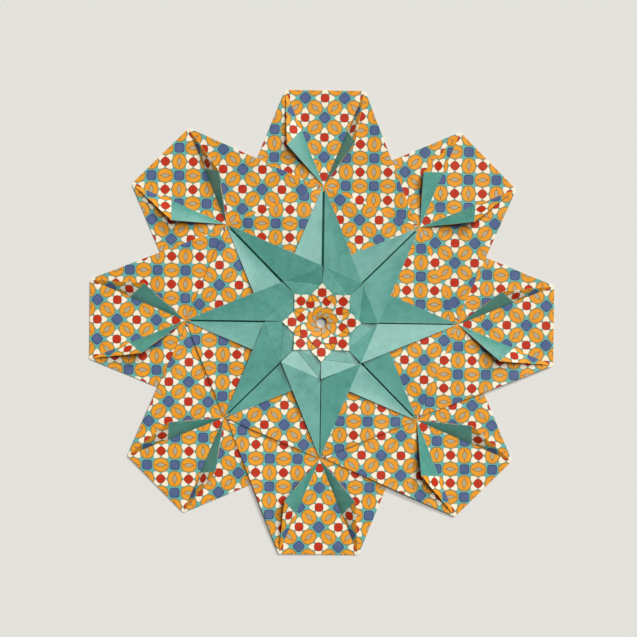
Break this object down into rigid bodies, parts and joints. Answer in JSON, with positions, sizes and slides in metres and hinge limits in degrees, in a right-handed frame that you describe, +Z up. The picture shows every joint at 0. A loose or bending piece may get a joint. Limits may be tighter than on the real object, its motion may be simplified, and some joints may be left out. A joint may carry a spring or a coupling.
{
  "type": "origami mandala",
  "caption": "Flat round paper mandala of overlapping folded arms around a star with a small printed centre, a table or wall decoration.",
  "frame": {"origin": "centre of the mandala, on the surface that it lies on", "axes": "+Z up out of the printed face, +Y along the first arm"},
  "size_m": [0.1812, 0.1812, 0.0081],
  "materials": {
    "printed_paper": "matt folding paper, geometric tile print in orange, red and blue on the face, plain teal on the back"
  },
  "bodies": {
    "root": {"petal_1": "printed_paper", "petal_2": "printed_paper", "petal_3": "printed_paper", "petal_4": "printed_paper", "petal_5": "printed_paper", "petal_6": "printed_paper", "petal_7": "printed_paper", "petal_8": "printed_paper"}
  },
  "joints": []
}
